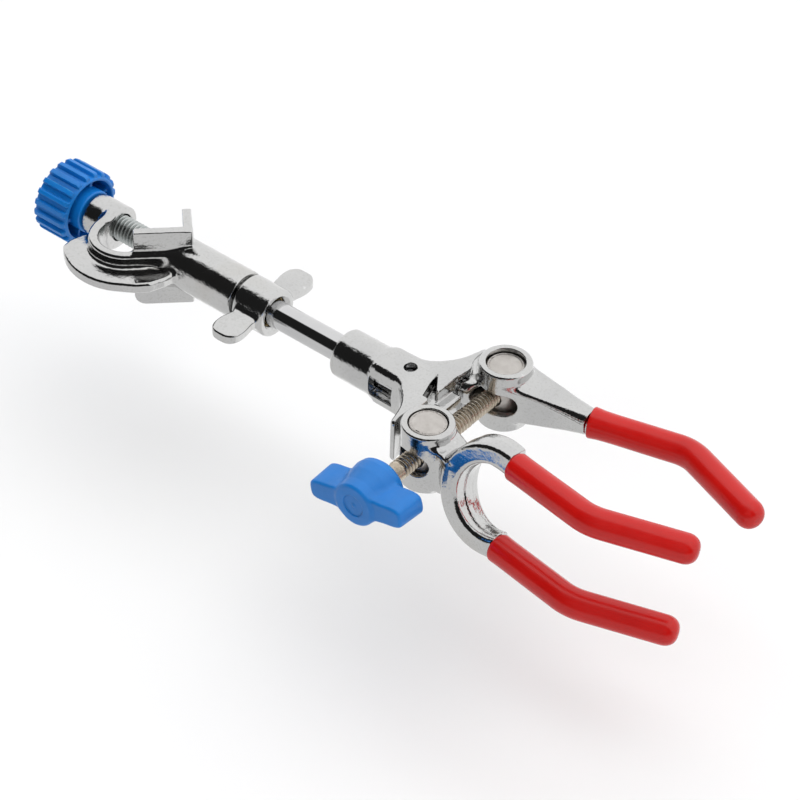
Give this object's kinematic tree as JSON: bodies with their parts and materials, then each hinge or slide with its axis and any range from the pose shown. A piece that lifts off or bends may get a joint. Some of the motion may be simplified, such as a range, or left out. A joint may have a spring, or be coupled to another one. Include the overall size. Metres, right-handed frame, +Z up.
{
  "type": "retort stand clamp",
  "caption": "Three-finger extension clamp for a retort stand: a boss head grips the upright rod, an arm slides and turns in it, and screw-driven coated fingers hold glassware.",
  "frame": {"origin": "on the axis of the upright rod that the boss head grips, level with the arm", "axes": "+X along the arm towards the finger tips, +Z up along the gripped upright rod, +Y towards the side of the single finger"},
  "size_m": [0.2404, 0.0804, 0.0359],
  "materials": {
    "chrome_casting": "bright plated zinc casting",
    "chrome_rod": "bright plated steel rod",
    "zinc_screw": "zinc-plated thread",
    "bright_steel": "satin steel",
    "nickel": "warm nickel plating",
    "brass": "turned",
    "blue_plastic": "moulded, satin gloss",
    "red_vinyl": "dipped vinyl, glossy"
  },
  "bodies": {
    "boss_head": {"boss_head": "chrome_casting"},
    "screw_pad": {"screw_pad": "bright_steel"},
    "boss_screw": {"boss_screw": "zinc_screw", "boss_knob": "blue_plastic"},
    "collet": {"collet": "brass"},
    "wing_nut": {"wing_nut": "chrome_casting"},
    "stop_ring": {"rod_stop_ring": "bright_steel"},
    "arm": {"rod": "chrome_rod", "rod_pin": "bright_steel", "clamp_head": "chrome_casting", "pivot_pin_single": "bright_steel", "pivot_pin_double": "bright_steel"},
    "nut_double": {"nut_double": "nickel"},
    "finger_double": {"finger_double": "chrome_casting", "sleeve_upper": "red_vinyl", "sleeve_lower": "red_vinyl"},
    "nut_single": {"nut_single": "nickel"},
    "finger_single": {"finger_single": "chrome_casting", "sleeve_single": "red_vinyl"},
    "finger_screw": {"finger_screw": "nickel", "wing_knob": "blue_plastic"}
  },
  "joints": [
    {"name": "boss_screw_feed", "type": "slide", "parent": "boss_head", "child": "screw_pad", "axis": [1, 0, 0], "range_m": [-0.01, 0.0003]},
    {"name": "boss_screw_turn", "type": "hinge", "parent": "screw_pad", "child": "boss_screw", "pos_m": [0, 0, 0], "axis": [1, 0, 0], "range_deg": [-2900, 90]},
    {"name": "wing_nut_feed", "type": "slide", "parent": "boss_head", "child": "collet", "axis": [1, 0, 0], "range_m": [-0.0004, 0.001]},
    {"name": "wing_nut_turn", "type": "hinge", "parent": "collet", "child": "wing_nut", "pos_m": [0, 0, 0], "axis": [1, 0, 0], "range_deg": [-146, 362]},
    {"name": "arm_extend", "type": "slide", "parent": "boss_head", "child": "stop_ring", "axis": [1, 0, 0], "range_m": [0, 0.01]},
    {"name": "arm_swivel", "type": "hinge", "parent": "stop_ring", "child": "arm", "pos_m": [0, 0, 0], "axis": [1, 0, 0], "continuous": true},
    {"name": "nut_double_slide", "type": "slide", "parent": "arm", "child": "nut_double", "axis": [0, 1, 0], "range_m": [-0.0017, 0.0017]},
    {"name": "finger_double_turn", "type": "hinge", "parent": "nut_double", "child": "finger_double", "pos_m": [0.113, -0.0169, 0], "axis": [0, 0, 1], "range_deg": [-10, 10]},
    {"name": "nut_single_slide", "type": "slide", "parent": "arm", "child": "nut_single", "axis": [0, 1, 0], "range_m": [-0.0017, 0.0017]},
    {"name": "finger_single_turn", "type": "hinge", "parent": "nut_single", "child": "finger_single", "pos_m": [0.113, 0.0169, 0], "axis": [0, 0, 1], "range_deg": [-10.2, 10.2]},
    {"name": "finger_screw_turn", "type": "hinge", "parent": "arm", "child": "finger_screw", "pos_m": [0.1124, 0, 0], "axis": [0, 1, 0], "range_deg": [-560, 560]}
  ],
  "couplings": [
    {"joint": "boss_screw_turn", "follows": "boss_screw_feed", "rad_per_m": 5026.5},
    {"joint": "wing_nut_turn", "follows": "wing_nut_feed", "rad_per_m": 6283.2},
    {"joint": "nut_double_slide", "follows": "finger_double_turn", "m_per_rad": 0.0088},
    {"joint": "finger_single_turn", "follows": "finger_double_turn", "ratio": -1},
    {"joint": "nut_single_slide", "follows": "finger_double_turn", "m_per_rad": -0.0088},
    {"joint": "finger_screw_turn", "follows": "finger_double_turn", "ratio": 44.234}
  ]
}
